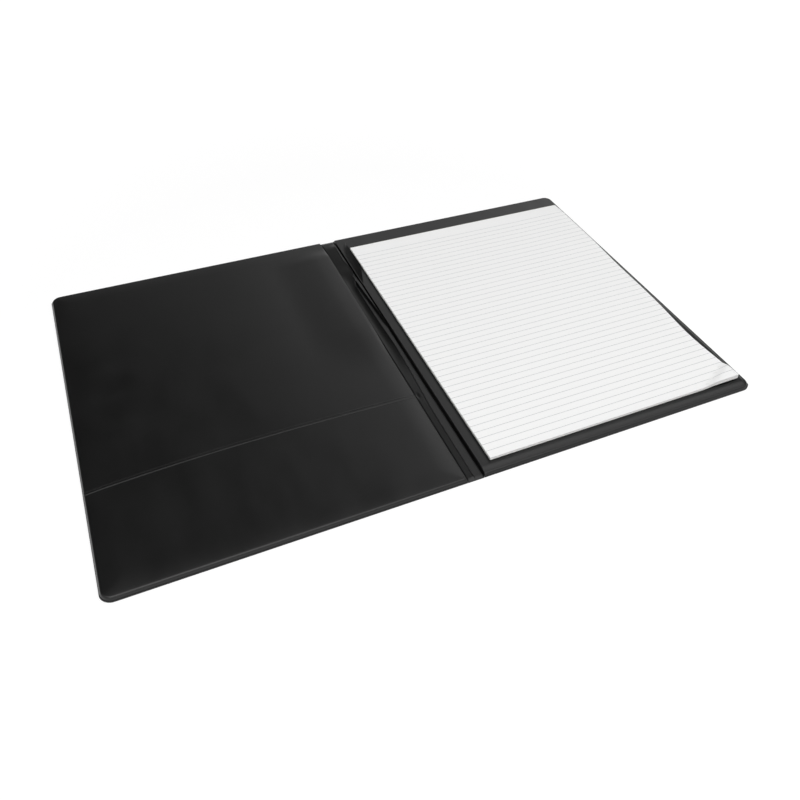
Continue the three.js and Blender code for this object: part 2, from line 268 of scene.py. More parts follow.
COVER_LOW, COVER_HIGH = mm_box("back_skin")
HALF_HEIGHT = COVER_HIGH[1]
SPINE_HALF = COVER_LOW[0] - CREASE_SIDE
COVER_WIDTH = COVER_HIGH[0] - SPINE_HALF
PAD_LOW, PAD_HIGH = mm_box("pad_pages")
CARD_TOP = mm_box("pad_card")[1][2]
PAD_LEFT = PAD_LOW[0] - SPINE_HALF
PAD_RIGHT = PAD_HIGH[0] - SPINE_HALF
PAD_BOTTOM = PAD_LOW[1]
PAD_TOP = PAD_HIGH[1]
PAGES_FLOOR = PAD_LOW[2]
PAGES_TOP = PAD_HIGH[2] - CURL_HEIGHT
BOARD_TOP = mm_box("back_board")[1][2]
SLIT_Y = PAD_TOP - SLIT_BELOW_HEAD


def smooth(t):
    """0 for t up to 0, 1 for t from 1 on, and a soft step between."""
    k = np.clip(t, 0, 1)
    return k * k * (3 - 2 * k)


def mix(a, b, t):
    """a where t is 0 and b where t is 1."""
    return a + (b - a) * t


def film_level(layer):
    """Underside of film number `layer` where it lies flat on the board."""
    return BOARD_TOP + LAYER_GAP + layer * (FILM_THICKNESS + LAYER_GAP)


def weld_level(layer):
    """Underside of film number `layer` in the welded edge."""
    return SKIN_THICKNESS + WELD_GAP + layer * (WELD_THICKNESS + WELD_GAP)


def inset(u, v):
    """Distance from a point of a cover to its nearest edge. u is measured from the crease."""
    corner_u = u - (COVER_WIDTH - CORNER_RADIUS)
    corner_v = np.abs(v) - (HALF_HEIGHT - CORNER_RADIUS)
    rounded = CORNER_RADIUS - np.hypot(corner_u, corner_v)
    straight = np.minimum(COVER_WIDTH - u, HALF_HEIGHT - np.abs(v))
    outer = np.where((corner_u > 0) & (corner_v > 0), rounded, straight)
    return np.minimum(outer, u - CREASE_SIDE)


def shoulder(distance):
    """How far a film has climbed from the weld, 0, onto the board, 1: steep at first, then rounding off."""
    t = np.clip((distance - WELD_WIDTH) / SHOULDER_WIDTH, 0, 1)
    return 1 - (1 - t) ** SHOULDER_POWER


def climb(u, v):
    """The climb of a film that is welded all round."""
    return shoulder(inset(u, v))


def crease_climb(u, v):
    """The climb of a film that reaches almost to the crease before it dips."""
    dip = smooth((u - CREASE_DIP) / CREASE_DIP_WIDTH)
    return np.where(u < CREASE_ZONE, dip * shoulder(HALF_HEIGHT - np.abs(v)), climb(u, v))


def line_at(u, step):
    """Height above the middle of the line that runs `step` inside the cover's edge."""
    past = max(u - (COVER_WIDTH - CORNER_RADIUS), 0)
    radius = CORNER_RADIUS - step
    rise = np.sqrt(max(radius**2 - past**2, 0))
    if rise == 0 and step > 0:
        rise = -0.2 * step  # past the line's own corner, so that no two lines run together
    return HALF_HEIGHT - CORNER_RADIUS + rise


# Distances from a cover's edge at which its films have mesh lines
EDGE_STEPS = [0, 0.2, *(WELD_WIDTH + SHOULDER_WIDTH * np.array(SHOULDER_STEPS)), 4.2]


def spread(*lists):
    """All values in rising order, without those that nearly repeat the one before."""
    kept = []
    for value in sorted(v for values in lists for v in values):
        if not kept or value - kept[-1] > LEAST_SPACING:
            kept.append(value)
    return kept


def cover_columns(start, spacing, extra=()):
    """Columns from start to the cover's outer edge, close together over welds and round corners."""
    crease = [u for u in (CREASE_SIDE + step for step in EDGE_STEPS) if u > start + LEAST_SPACING]
    corner = [CORNER_RADIUS * (1 - np.sin(np.radians(angle))) for angle in CORNER_ANGLES]
    outer = [COVER_WIDTH - step for step in [*EDGE_STEPS, *corner]]
    middle = np.arange(start + WELD_WIDTH, COVER_WIDTH - CORNER_RADIUS, spacing)
    return spread([start, start + FREE_EDGE_STEP], crease, middle, outer, extra)


def cover_rows(u, count):
    """Rows up a cover at column u, close together over the welds at both ends."""
    limit = line_at(u, EDGE_STEPS[-1])
    edges = [line_at(u, step) for step in EDGE_STEPS[:-1]]
    return [*(-v for v in edges), *np.linspace(-limit, limit, count), *edges[::-1]]


def cover_grid(us, rows):
    """Arrays u and v of a grid with the given columns and a function that gives each column's rows."""
    vs = np.array([rows(u) for u in us])
    return np.repeat(np.array(us)[:, None], vs.shape[1], axis=1), vs


def link(name, mesh):
    piece = bpy.data.objects.new(name, mesh)
    bpy.context.scene.collection.objects.link(piece)
    return piece


def sharpen(mesh, degrees=38):
    """Smooth shading, with hard lines only where two faces meet at more than the given angle."""
    work = bmesh.new()
    work.from_mesh(mesh)
    limit = float(np.radians(degrees))
    for face in work.faces:
        face.smooth = True
    for edge in work.edges:
        edge.smooth = len(edge.link_faces) == 2 and edge.calc_face_angle(0) < limit
    work.to_mesh(mesh)
    work.free()


def sheet_mesh(name, x, y, low, high, kept=None):
    """A closed thin body between two heights over a grid of points, all in millimetres.

    kept says which cells of the grid are there; the others are holes.
    """
    nu, nv = x.shape
    count = nu * nv
    if kept is None:
        kept = np.ones((nu - 1, nv - 1), bool)
    index = np.arange(count).reshape(nu, nv)
    points = np.vstack([np.column_stack([x.ravel(), y.ravel(), z.ravel()]) for z in (high, low)]) * MM
    a, b, c, d = index[:-1, :-1], index[1:, :-1], index[1:, 1:], index[:-1, 1:]
    tops = np.stack([a, b, c, d], axis=-1)[kept]
    padded = np.pad(kept, 1)
    sides = []
    for axis in (0, 1):
        before = padded[:-1, 1:-1] if axis == 0 else padded[1:-1, :-1]
        after = padded[1:, 1:-1] if axis == 0 else padded[1:-1, 1:]
        first = index[:, :-1] if axis == 0 else index[:-1, :]
        second = index[:, 1:] if axis == 0 else index[1:, :]
        opening = (after & ~before, before & ~after)
        for edge, swap in zip(opening, (axis == 1, axis == 0)):
            p, q = first[edge], second[edge]
            if swap:
                p, q = q, p
            sides.append(np.stack([p, q, q + count, p + count], axis=-1))
    faces = np.vstack([tops, tops[:, ::-1] + count, *sides])
    middle = (nu // 2, nv // 2)
    across = np.array([x[middle[0] + 1, middle[1]] - x[middle], y[middle[0], middle[1] + 1] - y[middle]])
    if across[0] * across[1] < 0:
        faces = faces[:, ::-1]
    mesh = bpy.data.meshes.new(name)
    mesh.from_pydata(points.tolist(), [], faces.tolist())
    work = bmesh.new()
    work.from_mesh(mesh)
    bmesh.ops.delete(work, geom=[v for v in work.verts if not v.link_faces], context="VERTS")
    work.to_mesh(mesh)
    work.free()
    sharpen(mesh)
    return mesh


def finished(name, mesh, material, slot, body, *nodes):
    """Makes a piece of a mesh, with its material, its body and the nodes it stands for. Its slot argument is
    not used.
    """
    piece = link(name, mesh)
    mesh.materials.clear()
    mesh.materials.append(material)
    if body:
        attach(piece, body)
    if nodes:
        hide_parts(*nodes)
    return piece


def node_tree(name):
    material = bpy.data.materials.new(name)
    material.use_nodes = True
    tree = material.node_tree
    shader = tree.nodes["Principled BSDF"]
    return material, tree, shader


def noise(tree, scale, detail=2.0, roughness=0.5, stretch=(1, 1, 1)):
    """A noise over the piece's own position, in metres."""
    place = tree.nodes.new("ShaderNodeTexCoord")
    mapping = tree.nodes.new("ShaderNodeMapping")
    mapping.inputs["Scale"].default_value = stretch
    texture = tree.nodes.new("ShaderNodeTexNoise")
    texture.inputs["Scale"].default_value = scale
    texture.inputs["Detail"].default_value = detail
    texture.inputs["Roughness"].default_value = roughness
    tree.links.new(place.outputs["Object"], mapping.inputs["Vector"])
    tree.links.new(mapping.outputs["Vector"], texture.inputs["Vector"])
    return texture.outputs["Fac"]


def ranged(tree, value, low, high):
    """A noise spread from low to high."""
    node = tree.nodes.new("ShaderNodeMapRange")
    node.inputs["From Min"].default_value = NOISE_LOW
    node.inputs["From Max"].default_value = NOISE_HIGH
    node.inputs["To Min"].default_value = low
    node.inputs["To Max"].default_value = high
    tree.links.new(value, node.inputs["Value"])
    return node.outputs["Result"]


def bump(tree, height, strength, distance, before=None):
    node = tree.nodes.new("ShaderNodeBump")
    node.inputs["Strength"].default_value = strength
    node.inputs["Distance"].default_value = distance
    tree.links.new(height, node.inputs["Height"])
    if before is not None:
        tree.links.new(before, node.inputs["Normal"])
    return node.outputs["Normal"]


def tinted(tree, value, dark, light):
    node = tree.nodes.new("ShaderNodeMix")
    node.data_type = "RGBA"
    node.inputs["A"].default_value = (*dark, 1)
    node.inputs["B"].default_value = (*light, 1)
    tree.links.new(ranged(tree, value, 0, 1), node.inputs["Factor"])
    return node.outputs["Result"]


def vinyl(name, dark, light, rough, grain, unevenness=0.05):
    """Soft black vinyl film: a fine calendered grain, a slightly uneven sheen and faint clouds of tone."""
    material, tree, shader = node_tree(name)
    cloud = noise(tree, CLOUD_SCALE, detail=3)
    tree.links.new(tinted(tree, cloud, dark, light), shader.inputs["Base Color"])
    sheen = noise(tree, SHEEN_SCALE, detail=4, stretch=(1, 0.4, 1))
    tree.links.new(ranged(tree, sheen, *rough), shader.inputs["Roughness"])
    shader.inputs["IOR"].default_value = 1.5
    pores = bump(tree, noise(tree, PORE_SCALE, detail=3, roughness=0.6), grain, PORE_DEPTH)
    wave = noise(tree, WAVE_SCALE, detail=1, stretch=(1, 0.5, 1))
    tree.links.new(bump(tree, wave, unevenness, WAVE_DEPTH, pores), shader.inputs["Normal"])
    return material


def paper(name, dark, light):
    """Matt paper or card with a fine fibre."""
    material, tree, shader = node_tree(name)
    fibre = noise(tree, FIBRE_SCALE, detail=5, roughness=0.65)
    tree.links.new(tinted(tree, fibre, dark, light), shader.inputs["Base Color"])
    tree.links.new(ranged(tree, fibre, 0.8, 0.95), shader.inputs["Roughness"])
    shader.inputs["Specular IOR Level"].default_value = 0.3
    tree.links.new(bump(tree, fibre, 0.25, FIBRE_DEPTH), shader.inputs["Normal"])
    return material


POCKET_FILM = vinyl("pocket_film", FILM_DARK, FILM_LIGHT, FILM_ROUGHNESS, 0.10)
LINING_FILM = vinyl("lining_film", FILM_DARK, FILM_LIGHT, FILM_ROUGHNESS, 0.12)
OUTER_FILM = vinyl("outer_film", OUTER_DARK, OUTER_LIGHT, OUTER_ROUGHNESS, 0.55, 0.015)
PAPER = paper("ruled_paper", (0.86, 0.86, 0.856), (0.90, 0.90, 0.897))
INK = paper("rule_ink", (0.40, 0.41, 0.42), (0.46, 0.47, 0.48))
# The sheets below the top one: the same paper painted darker, a painted shade between the sheets
SHADED_SHEET_PAPER = paper("sheet_paper_painted_shade", (0.74, 0.74, 0.73), (0.86, 0.86, 0.85))
CARD = paper("grey_card", (0.22, 0.21, 0.19), (0.30, 0.285, 0.26))
GLUE = paper("padding_glue", (0.66, 0.65, 0.60), (0.74, 0.73, 0.68))


def cover_x(side, u):
    """x of a point u from the crease, on the front cover for side -1 and the back cover for side 1."""
    return side * (SPINE_HALF + u)


def lying(layer, u, v, climbing=climb):
    """Underside and top of a film that lies on the board, welded all round."""
    k = climbing(u, v)
    low = mix(weld_level(layer), film_level(layer), k)
    return low, low + mix(WELD_THICKNESS, FILM_THICKNESS, k)


def whole_cover_grid():
    return cover_grid(cover_columns(CREASE_SIDE, COVER_SPACING), lambda at: cover_rows(at, COVER_ROWS))


def cover_skin(side, name, body, node):
    """Outer skin of a cover."""
    u, v = whole_cover_grid()
    low = SKIN_PRESS * (1 - climb(u, v))
    high = np.full_like(low, SKIN_THICKNESS)
    mesh = sheet_mesh(name, cover_x(side, u), v, low, high)
    return finished(name, mesh, OUTER_FILM, "vinyl", body, node)


def cover_lining(side, name, body, node):
    """Lining of a cover, under its pocket films."""
    u, v = whole_cover_grid()
    mesh = sheet_mesh(name, cover_x(side, u), v, *lying(0, u, v))
    return finished(name, mesh, LINING_FILM, "lining", body, node)


def front_fullness(u, v):
    """How far the front pockets' films stand off the board, with dents near the outer edge."""
    from_weld = inset(u, v) - WELD_WIDTH
    crown = np.clip(from_weld / CROWN_REACH, 0, 1)
    pillow = CROWN_HEIGHT * (1 - (1 - crown) ** 2)
    across = u - (COVER_WIDTH - DENTS_INSET)
    dents = np.exp(-(across / DENTS_REACH_U) ** 2) * np.exp(-((v - DENTS_V) / DENTS_REACH_V) ** 2)
    waves = DENTS_HEIGHT * dents * (np.sin(v / 5.2 + u / 31) + 0.6 * np.sin(v / 11.5 - u / 19 + 1.3))
    slow = SWELL_HEIGHT * smooth(from_weld / SWELL_RAMP) * np.sin(u / 41 + 0.6) * np.sin(v / 57 - 0.4)
    return np.maximum(pillow + waves + slow, 0)


def mouth_lift(u, v):
    """How far the tall pocket's free edge beside the spine stands open, and how open it is."""
    from_hem = smooth((v - HEM_TOP) / MOUTH_RAMP_HEM)
    from_top = smooth((HALF_HEIGHT - WELD_WIDTH - v) / MOUTH_RAMP_TOP)
    along = from_hem * from_top
    past = u - TALL_POCKET_SIDE
    rise = MOUTH_LIFT * (1 - smooth(past / MOUTH_DEPTH))
    rolled = MOUTH_ROLL * (1 - smooth(past / MOUTH_ROLL_REACH))
    return (rise - rolled) * along, np.where(u < COVER_WIDTH / 2, along, 0)


def hem_at(u):
    """Height of the low pocket's open edge, which falls a little to both ends."""
    near = HEM_FALL_SPINE * ((HEM_TOP_U - u) / HEM_TOP_U) ** 2
    far = HEM_FALL_EDGE * ((u - HEM_TOP_U) / (COVER_WIDTH - HEM_TOP_U)) ** 2
    return HEM_TOP - np.where(u < HEM_TOP_U, near, far)


def front_tall_film():
    """Full-height pocket film, free along the spine side."""
    columns = cover_columns(TALL_POCKET_SIDE, POCKET_SPACING)
    u, v = cover_grid(columns, lambda at: cover_rows(at, TALL_POCKET_ROWS))
    low, high = lying(1, u, v, crease_climb)
    thickness = high - low
    lift, openness = mouth_lift(u, v)
    low = mix(low, film_level(1) + lift, openness) + front_fullness(u, v) * crease_climb(u, v)
    thickness = mix(thickness, FILM_THICKNESS, openness)
    mesh = sheet_mesh("front_tall_film", cover_x(-1, u), v, low, low + thickness)
    return finished("front_tall_film", mesh, POCKET_FILM, "pocket_film", "front_cover", "front_tall_pocket")


def front_low_film():
    """Lower pocket film with its doubled hem."""
    columns = cover_columns(LOW_POCKET_SIDE, POCKET_SPACING)

    def rows(at):
        top = hem_at(at)
        hem = [top - step for step in np.arange(HEM_WIDTH + 1.5, -0.1, -0.25)]
        start = -line_at(at, EDGE_STEPS[-1])
        bottom = [-line_at(at, step) for step in EDGE_STEPS[:-1]]
        return [*bottom, *np.linspace(start, top - HEM_WIDTH - 2, LOW_POCKET_ROWS), *hem]

    u, v = cover_grid(columns, rows)
    low, high = lying(2, u, v, crease_climb)
    risen = crease_climb(u, v)
    below = hem_at(u) - v
    doubled = smooth((HEM_WIDTH + HEM_STEP / 2 - below) / HEM_STEP)
    upper_bead = np.exp(-(((below - HEM_BEAD_INSET) / HEM_BEAD_WIDTH) ** 2))
    lower_bead = HEM_LOWER_BEAD * np.exp(-(((below - HEM_WIDTH) / HEM_BEAD_WIDTH) ** 2))
    beads = HEM_RIDGE * (upper_bead + lower_bead)
    thickness = (high - low) * (1 + HEM_DOUBLING * doubled * risen) + beads * risen
    low = low + front_fullness(u, v) * risen
    mesh = sheet_mesh("front_low_film", cover_x(-1, u), v, low, low + thickness)
    return finished("front_low_film", mesh, POCKET_FILM, "pocket_film", "front_cover", "front_low_pocket")


def back_film_rows(slit_u, crest):
    """Heights of the back film's rows at the pad's side, and a function that gives the rows at a column.

    Beside the spine the rows near the slit are drawn down along the slant of the slit's end.
    """
    head = line_at(0, EDGE_STEPS[-1])
    base = spread(
        np.linspace(-head, -head + 10, 12),
        np.arange(-head + 11, 60, 2.6),
        np.arange(60, SLIT_Y - 1, 1.2),
        [SLIT_Y - SLIT_CUT / 2, SLIT_Y + SLIT_CUT / 2],
        np.arange(SLIT_Y + 1, crest - 0.5, 1.0),
        np.arange(crest, head, 0.5),
        [head],
    )
    base = np.array(base)
    into_slant = smooth((base - SLANT_FROM) / (SLIT_Y - SLANT_FULL - SLANT_FROM))
    out_of_slant = smooth((head - base) / (head - crest))
    apart = ROW_PLAY * np.arange(len(base))

    def rows(at):
        limit = line_at(at, EDGE_STEPS[-1])
        shift = FLAP_SLANT * (slit_u - np.clip(at, GAPE_INNER, slit_u))
        middle = base - shift * (into_slant * out_of_slant)
        middle = np.clip(middle, -limit + apart, limit - apart[::-1])
        edges = [line_at(at, step) for step in EDGE_STEPS[:-1]]
        return [*(-v for v in edges), *middle, *edges[::-1]]

    return base, rows


def back_film():
    """Film of the back cover: over the pad's card below the slit and under it above the slit.

    The slit ends beside the spine in a slanted cut, and the film's corner above it stands up as a flap
    against the pad's side.
    """
    slit_u = PAD_LEFT - CARD_PLAY
    crest = SLIT_Y + FLAP_HEIGHT
    fine = [*np.arange(CREASE_SIDE, 2, 0.21), *np.arange(2, slit_u, 0.3)]
    beyond = [PAD_RIGHT + step for step in np.linspace(0, 4, 9)]
    columns = cover_columns(CREASE_SIDE, 2.4, [*fine, slit_u, slit_u + SIDE_CUT, *beyond])
    base, rows = back_film_rows(slit_u, crest)
    u, v = cover_grid(columns, rows)

    # Each row's own height at the pad's side, which says what is above and what below the slanted slit
    step_in = len(EDGE_STEPS) - 1
    level = np.full(v.shape[1], np.nan)
    level[step_in:-step_in] = base
    level = np.broadcast_to(level, v.shape)

    low, high = lying(1, u, v)
    near_crease = u < slit_u
    groove_rise = smooth((u - GROOVE_START) / GROOVE_RISE)
    crease_rise = groove_rise * shoulder(HALF_HEIGHT - np.abs(v))
    low = np.where(near_crease, mix(weld_level(1), film_level(1), crease_rise), low)
    thickness = np.where(near_crease, mix(WELD_THICKNESS, FILM_THICKNESS, crease_rise), high - low)

    # Below the slit the film is stretched over the card like a tent
    beside = (u - PAD_RIGHT - CARD_PLAY) / (COVER_WIDTH - PAD_RIGHT - CARD_PLAY - WELD_WIDTH)
    under = (PAD_BOTTOM - CARD_PLAY - v) / (PAD_BOTTOM - CARD_PLAY + HALF_HEIGHT - WELD_WIDTH)
    tent = (1 - np.clip(beside, 0, 1) ** TENT_POWER) * (1 - np.clip(under, 0, 1) ** TENT_POWER)
    tent = tent * np.where(near_crease, groove_rise, 1)
    over_card = weld_level(1) + (CARD_TOP + LAYER_GAP - weld_level(1)) * tent
    below_slit = (level < SLIT_Y) | np.isnan(level) & (v < 0)
    low = np.where(below_slit, np.maximum(over_card, low), low)

    # Above its end the film stands up as a flap
    flap = (level > SLIT_Y) & (level < crest + FLAP_FADE) & (u < slit_u + 0.01) & (u > GAPE_INNER)
    across = np.clip((u - GAPE_INNER) / (slit_u - GAPE_INNER), 0, 1)
    down = np.clip((crest - level) / FLAP_HEIGHT, 0, 1)
    tip = mix(FLAP_CREST_LIFT, FLAP_TIP_LIFT, down)
    fade = smooth((crest + FLAP_FADE - level) / FLAP_FADE)
    low = np.where(flap, low + across * tip * fade, low)

    cell_u = (u[:-1, :-1] + u[1:, 1:]) / 2
    cell_level = (level[:-1, :-1] + level[:-1, 1:]) / 2
    slit = (np.abs(cell_level - SLIT_Y) < SLIT_CUT / 2) & (cell_u > GAPE_INNER)
    slit = slit & (cell_u < PAD_RIGHT + SLIT_PAST_CARD)
    side = (cell_u > slit_u) & (cell_u < slit_u + SIDE_CUT) & (cell_level > SLIT_Y) & (cell_level < crest)
    mesh = sheet_mesh("back_film", cover_x(1, u), v, low, low + thickness, ~(slit | side))
    return finished("back_film", mesh, POCKET_FILM, "pocket_film", "back_cover", "back_pocket")


def spine_grid(columns, rows):
    """Half the width of the spine's films, and arrays x and y of a grid over them."""
    half = SPINE_HALF - CREASE_SIDE
    xs = np.linspace(-half, half, columns)
    ys = np.linspace(-HALF_HEIGHT, HALF_HEIGHT, rows)
    return half, *np.meshgrid(xs, ys, indexing="ij")


def spine_outer():
    """Outer skin of the spine."""
    _, x, y = spine_grid(20, 60)
    mesh = sheet_mesh("spine_outer", x, y, np.zeros_like(x), np.full_like(x, SKIN_THICKNESS))
    return finished("spine_outer", mesh, OUTER_FILM, "vinyl", "spine", "spine_skin")


def spine_inner():
    """Spine lining, with a ridge along its middle and a bulge of film beside the upper part of the back cover.
    """
    half, x, y = spine_grid(118, 260)
    ends = smooth((HALF_HEIGHT - np.abs(y) - SPINE_END) / SPINE_END_RAMP)
    rise = smooth((half - np.abs(x) - SPINE_SIDE) / SPINE_SIDE_RAMP) * ends
    ridge = np.interp(y, SPINE_RIDGE_Y, SPINE_RIDGE_X)
    groove = np.interp(y, SPINE_GROOVE_Y, SPINE_GROOVE_X)
    upper = smooth((y - UPPER_FROM) / UPPER_RAMP)
    beside_flap = smooth((y - BESIDE_FLAP_FROM) / BESIDE_FLAP_RAMP)

    # The ridge rises straight from the front cover's side, hollow in the upper part, and drops behind its top
    left = np.clip((x + half) / (ridge + half), 0, 1) ** mix(1, 3, upper * (1 - beside_flap))
    right = 1 - RIDGE_DROP * smooth((x - ridge) / RIDGE_DROP_WIDTH) * (1 - beside_flap)
    top = mix(mix(SPINE_RIDGE_LOW, SPINE_RIDGE_HIGH, upper), SPINE_FLAP_HIGH, beside_flap)
    top_end = smooth((HALF_HEIGHT - RIDGE_END - y) / RIDGE_END_RAMP)
    crest = top * np.where(x < ridge, left, right) * top_end
    crest = crest + RIDGE_BEAD * np.exp(-(((x - ridge) / RIDGE_BEAD_WIDTH) ** 2))

    along = smooth((y - BULGE_FROM) / BULGE_FROM_RAMP) * smooth((BULGE_TO - y) / BULGE_TO_RAMP)
    bulge = BULGE_HEIGHT * smooth((x - groove) / BULGE_SLOPE) * smooth((half - x) / BULGE_SLOPE_CREASE) * along
    notch = NOTCH * np.exp(-(((x - NOTCH_X) / NOTCH_ACROSS) ** 2) - ((y - hem_at(0)) / NOTCH_ALONG) ** 2)
    low = weld_level(0) + (SPINE_FULLNESS + crest - notch) * rise + bulge * ends
    high = low + mix(WELD_THICKNESS, FILM_THICKNESS, rise)
    mesh = sheet_mesh("spine_inner", x, y, low, high)
    piece = finished("spine_inner", mesh, LINING_FILM, "lining", "spine", "spine_lining")
    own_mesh(piece)
    return piece


def crease_films():
    """Thin webs of film that close both hinge creases, inside and outside."""
    for side, cover in ((-1, "front_cover"), (1, "back_cover")):
        for level, floor, reach in WEBS:
            us = np.linspace(-reach, reach, 13)
            ys = np.linspace(-HALF_HEIGHT + WEB_END, HALF_HEIGHT - WEB_END, 120)
            u, y = np.meshgrid(us, ys, indexing="ij")
            name = f"{cover}_crease_{level}"
            low = np.full_like(u, floor)
            mesh = sheet_mesh(name, side * (SPINE_HALF + u), y, low, low + WEB_THICKNESS)
            piece = finished(name, mesh, LINING_FILM, "lining", None)
            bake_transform(piece)


def upper_edge(v):
    """0 beside the pad's lower half and 1 beside its upper half."""
    return smooth((v - UPPER_EDGE_FROM) / UPPER_EDGE_RAMP)


def page_lift(u, v):
    """How far the sheets stand up: the bottom right corner is bent along a slanting line."""
    past = 1 - (PAD_RIGHT - u) / BENT_ACROSS - (v - PAD_BOTTOM) / BENT_UP
    slow = np.maximum(1 - np.hypot(PAD_RIGHT - u, v - PAD_BOTTOM) / CURL_REACH, 0) ** 2
    outwards = smooth((u - PAD_RIGHT + EDGE_RISE_REACH) / EDGE_RISE_REACH)
    side = EDGE_RISE * outwards * upper_edge(v) * smooth((PAD_TOP - v) / HEAD_RAMP)
    return BENT_LIFT * smooth(past / BENT_SHARPNESS) + CURL_LIFT * slow + side


def page_x(u, v):
    """The pad's right edge has slipped inwards a little in its lower half and stands out in its upper half."""
    slip = EDGE_SLIP * np.exp(-(((v - EDGE_SLIP_Y) / EDGE_SLIP_REACH) ** 2)) - EDGE_OUT * upper_edge(v)
    slip = slip * smooth((u - PAD_RIGHT / 2) / (PAD_RIGHT / 2))
    return cover_x(1, u - slip)


def rule_middles():
    """Heights of the ruled lines."""
    return [PAD_TOP - RULE_FROM_HEAD - RULE_PITCH * k for k in range(RULE_COUNT)]


def top_sheet():
    """The uppermost sheet with its ruled lines, which are strips of the sheet's own surface in ink."""
    middles = rule_middles()
    edges = [m + s * RULE_WIDTH / 2 for m in middles for s in (-1, 1)]
    even = np.linspace(PAD_BOTTOM, PAD_TOP, TOP_SHEET_ROWS)
    between = [y for y in even if min(abs(y - e) for e in edges) > RULE_CLEAR]
    xs = np.linspace(PAD_LEFT, PAD_RIGHT, TOP_SHEET_COLUMNS)
    u, v = np.meshgrid(xs, sorted([*edges, *between]), indexing="ij")
    high = PAGES_TOP + page_lift(u, v)
    mesh = sheet_mesh("top_sheet", page_x(u, v), v, high - SHEET_THICKNESS, high)
    piece = finished("top_sheet", mesh, PAPER, "paper", "back_cover", "pad_pages")
    mesh.materials.append(INK)
    for face in mesh.polygons:
        middle = face.center[1] / MM
        if face.normal.z > 0.5 and min(abs(middle - m) for m in middles) < RULE_WIDTH / 2:
            face.material_index = 1
    return piece


def sheet_grid(left, right, bottom):
    """Arrays u and v of a grid between the given edges and the pad's head."""
    us = np.linspace(left, right, SHEET_COLUMNS)
    vs = np.linspace(bottom, PAD_TOP, SHEET_ROWS)
    return np.meshgrid(us, vs, indexing="ij")


def loose_sheets():
    """A few sheets under the top one whose corners curl up less and less, in paper painted darker for the
    shade between the sheets.
    """
    for k in range(1, LOOSE_SHEETS):
        u, v = sheet_grid(PAD_LEFT, PAD_RIGHT - SHEET_IN * k, PAD_BOTTOM + SHEET_UP * k)
        flat = PAGES_TOP - k * (SHEET_THICKNESS + SHEET_GAP)
        high = flat + page_lift(u, v) * (1 - SHEET_LIFT_LOSS * k)
        name = f"loose_sheet_{k}"
        mesh = sheet_mesh(name, page_x(u, v), v, high - SHEET_THICKNESS, high)
        finished(name, mesh, SHADED_SHEET_PAPER, "paper", "back_cover")


def page_block():
    """The rest of the sheets, whose edges step in and out by hairs, in paper painted darker for the shade
    between the sheets.
    """
    rng = np.random.default_rng(4)
    top = PAGES_TOP - LOOSE_SHEETS * (SHEET_THICKNESS + SHEET_GAP)
    height = (top - PAGES_FLOOR) / BLOCK_LAYERS
    for k in range(BLOCK_LAYERS):
        dx, dy = rng.uniform(0.0, BLOCK_UNEVENNESS, 2)
        u, v = sheet_grid(PAD_LEFT + dx, PAD_RIGHT - dx, PAD_BOTTOM + dy)
        share = 1 - SHEET_LIFT_LOSS * LOOSE_SHEETS - BLOCK_LIFT_LOSS * (BLOCK_LAYERS - k)
        low = PAGES_FLOOR + k * height + page_lift(u, v) * share
        name = f"page_layer_{k}"
        mesh = sheet_mesh(name, page_x(u, v), v, low, low + height - BLOCK_GAP)
        finished(name, mesh, SHADED_SHEET_PAPER, "paper", "back_cover")


def repaint(node, material):
    """Gives a CAD node that stays in sight its material."""
    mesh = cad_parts[node].data
    mesh.materials.clear()
    mesh.materials.append(material)


def place_camera():
    azimuth, elevation, roll = np.radians([CAMERA_AZIMUTH, CAMERA_ELEVATION, CAMERA_ROLL])
    level = np.array([np.sin(azimuth), -np.cos(azimuth), 0]) * np.cos(elevation)
    back = level + [0, 0, np.sin(elevation)]
    right = np.cross([0, 0, 1], back)
    right /= np.linalg.norm(right)
    up = np.cross(back, right)
    turned = right * np.cos(roll) + up * np.sin(roll)
    upward = -right * np.sin(roll) + up * np.cos(roll)
    data = bpy.data.cameras.new("photo_camera")
    data.sensor_fit = "HORIZONTAL"
    data.sensor_width = SENSOR_WIDTH
    data.lens = FOCAL_LENGTH / IMAGE_SIZE * SENSOR_WIDTH
    data.shift_x = 0.5 - OPTICAL_CENTRE[0] / IMAGE_SIZE
    data.shift_y = OPTICAL_CENTRE[1] / IMAGE_SIZE - 0.5
    data.clip_start = 0.01
    data.clip_end = 100
    camera = link("photo_camera", data)
    columns = [Vector(axis) for axis in (turned, upward, back)]
    matrix = Matrix(columns).transposed().to_4x4()
    matrix.translation = Vector(CAMERA_PLACE) * MM
    camera.matrix_world = matrix
    bpy.context.scene.camera = camera


def soft_box(name, azimuth, elevation, distance, size, radiance, centre=(0, 0, 0)):
    """A rectangular studio light that faces the centre and gives the stated radiance."""
    data = bpy.data.lights.new(name, "AREA")
    data.shape = "RECTANGLE"
    data.size, data.size_y = size
    data.energy = radiance * np.pi * size[0] * size[1]
    lamp = link(name, data)
    a, e = np.radians([azimuth, elevation])
    away = Vector((np.sin(a) * np.cos(e), np.cos(a) * np.cos(e), np.sin(e)))
    lamp.location = Vector(centre) + away * distance
    lamp.rotation_euler = away.to_track_quat("Z", "Y").to_euler()
    lamp.visible_camera = False


def seen_directly(tree):
    """1 for what the camera sees straight, in a reflection or through something, and 0 for other light."""
    path = tree.nodes.new("ShaderNodeLightPath")
    total = path.outputs["Is Camera Ray"]
    for other in ("Is Glossy Ray", "Is Transmission Ray"):
        node = tree.nodes.new("ShaderNodeMath")
        node.operation = "MAXIMUM"
        tree.links.new(total, node.inputs[0])
        tree.links.new(path.outputs[other], node.inputs[1])
        total = node.outputs[0]
    return total, path.outputs["Is Camera Ray"]


